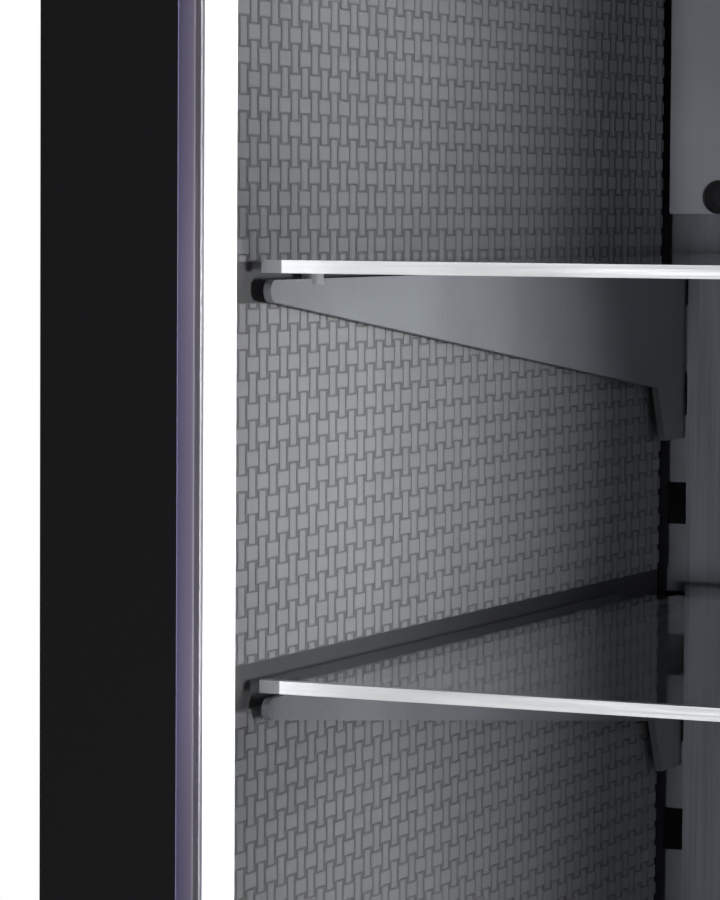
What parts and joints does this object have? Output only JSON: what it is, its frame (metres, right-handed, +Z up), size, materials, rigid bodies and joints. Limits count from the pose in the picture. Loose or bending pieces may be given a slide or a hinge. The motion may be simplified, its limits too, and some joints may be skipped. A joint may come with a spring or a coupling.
{
  "type": "china cabinet with glass doors",
  "caption": "Tall display cabinet with framed glass doors, lit side posts, woven side liners and glass shelves on hook-in brackets.",
  "frame": {"origin": "centre of the footprint, on the floor", "axes": "+Z up, the doors face -Y, +X to the right when facing the doors"},
  "size_m": [0.9766, 0.542, 1.85],
  "materials": {
    "black_frame": "matte black lacquer",
    "black_carcass": "matte black lacquer",
    "woven_grey": "satin grey, embossed basketweave",
    "post_metal": "satin anodised",
    "back_grey": "satin slate grey with a fine vertical grain",
    "cover_grey": "smooth satin grey",
    "gloss_black": "glossy black",
    "standard_dark": "dark grey powder coat",
    "bracket_grey": "fine-grained grey powder coat",
    "bright_steel": "brushed",
    "cap_grey": "satin grey",
    "pad_clear": "bright",
    "shelf_glass": "clear",
    "door_glass": "clear",
    "rubber_black": "matte",
    "seal_pale": "satin, pale grey",
    "diffuser_white": "frosted, lit",
    "strip": "light strip",
    "driver_white": "satin",
    "screw_dark": "blackened steel",
    "foot_dark": "satin"
  },
  "bodies": {
    "cabinet": {"left_side_panel": "black_carcass", "right_side_panel": "black_carcass", "top_panel": "black_carcass", "bottom_panel": "black_carcass", "back_board": "black_carcass", "plinth_frame": "black_carcass", "levelling_feet": "foot_dark", "left_light_post": "post_metal", "right_light_post": "post_metal", "left_woven_liner": "woven_grey", "right_woven_liner": "woven_grey", "inner_back_panel": "back_grey", "wiring_cover": "cover_grey", "cover_studs": "gloss_black", "left_standard": "standard_dark", "right_standard": "standard_dark", "frame_screws": "screw_dark", "light_diffusers": "diffuser_white", "light_strips": "strip", "light_driver": "driver_white", "cable_grommet": "rubber_black", "shelf_glass_1": "shelf_glass", "shelf_glass_2": "shelf_glass", "shelf_glass_3": "shelf_glass", "shelf_glass_4": "shelf_glass", "shelf_trim_1": "bright_steel", "shelf_trim_2": "bright_steel", "shelf_trim_3": "bright_steel", "shelf_trim_4": "bright_steel", "left_bracket_1": "bracket_grey", "left_bracket_2": "bracket_grey", "left_bracket_3": "bracket_grey", "left_bracket_4": "bracket_grey", "right_bracket_1": "bracket_grey", "right_bracket_2": "bracket_grey", "right_bracket_3": "bracket_grey", "right_bracket_4": "bracket_grey", "trim_end_caps": "cap_grey", "shelf_pads": "pad_clear", "hinge_frame_leaves": "screw_dark", "hinge_pins": "screw_dark"},
    "left_door": {"left_hinge_stile": "black_frame", "left_meeting_stile": "black_frame", "left_door_rails": "black_frame", "left_door_glass": "door_glass", "left_glazing_bead": "seal_pale", "left_door_handle": "black_frame", "left_door_leaves": "screw_dark", "left_door_seal": "seal_pale", "left_door_screws": "screw_dark"},
    "right_door": {"right_hinge_stile": "black_frame", "right_meeting_stile": "black_frame", "right_door_rails": "black_frame", "right_door_glass": "door_glass", "right_glazing_bead": "seal_pale", "right_door_handle": "black_frame", "right_door_leaves": "screw_dark", "right_door_seal": "seal_pale", "right_door_screws": "screw_dark"},
    "button": {"light_button": "gloss_black"}
  },
  "joints": [
    {"name": "left_door_hinge", "type": "hinge", "parent": "cabinet", "child": "left_door", "pos_m": [-0.4843, -0.218, 1], "axis": [0, 0, -1], "range_deg": [0, 110]},
    {"name": "right_door_hinge", "type": "hinge", "parent": "cabinet", "child": "right_door", "pos_m": [0.4843, -0.218, 1], "axis": [0, 0, 1], "range_deg": [0, 110]},
    {"name": "light_button_press", "type": "slide", "parent": "cabinet", "child": "button", "axis": [0, 1, 0], "range_m": [0, 0.002], "stiffness_N_per_m": 400}
  ]
}
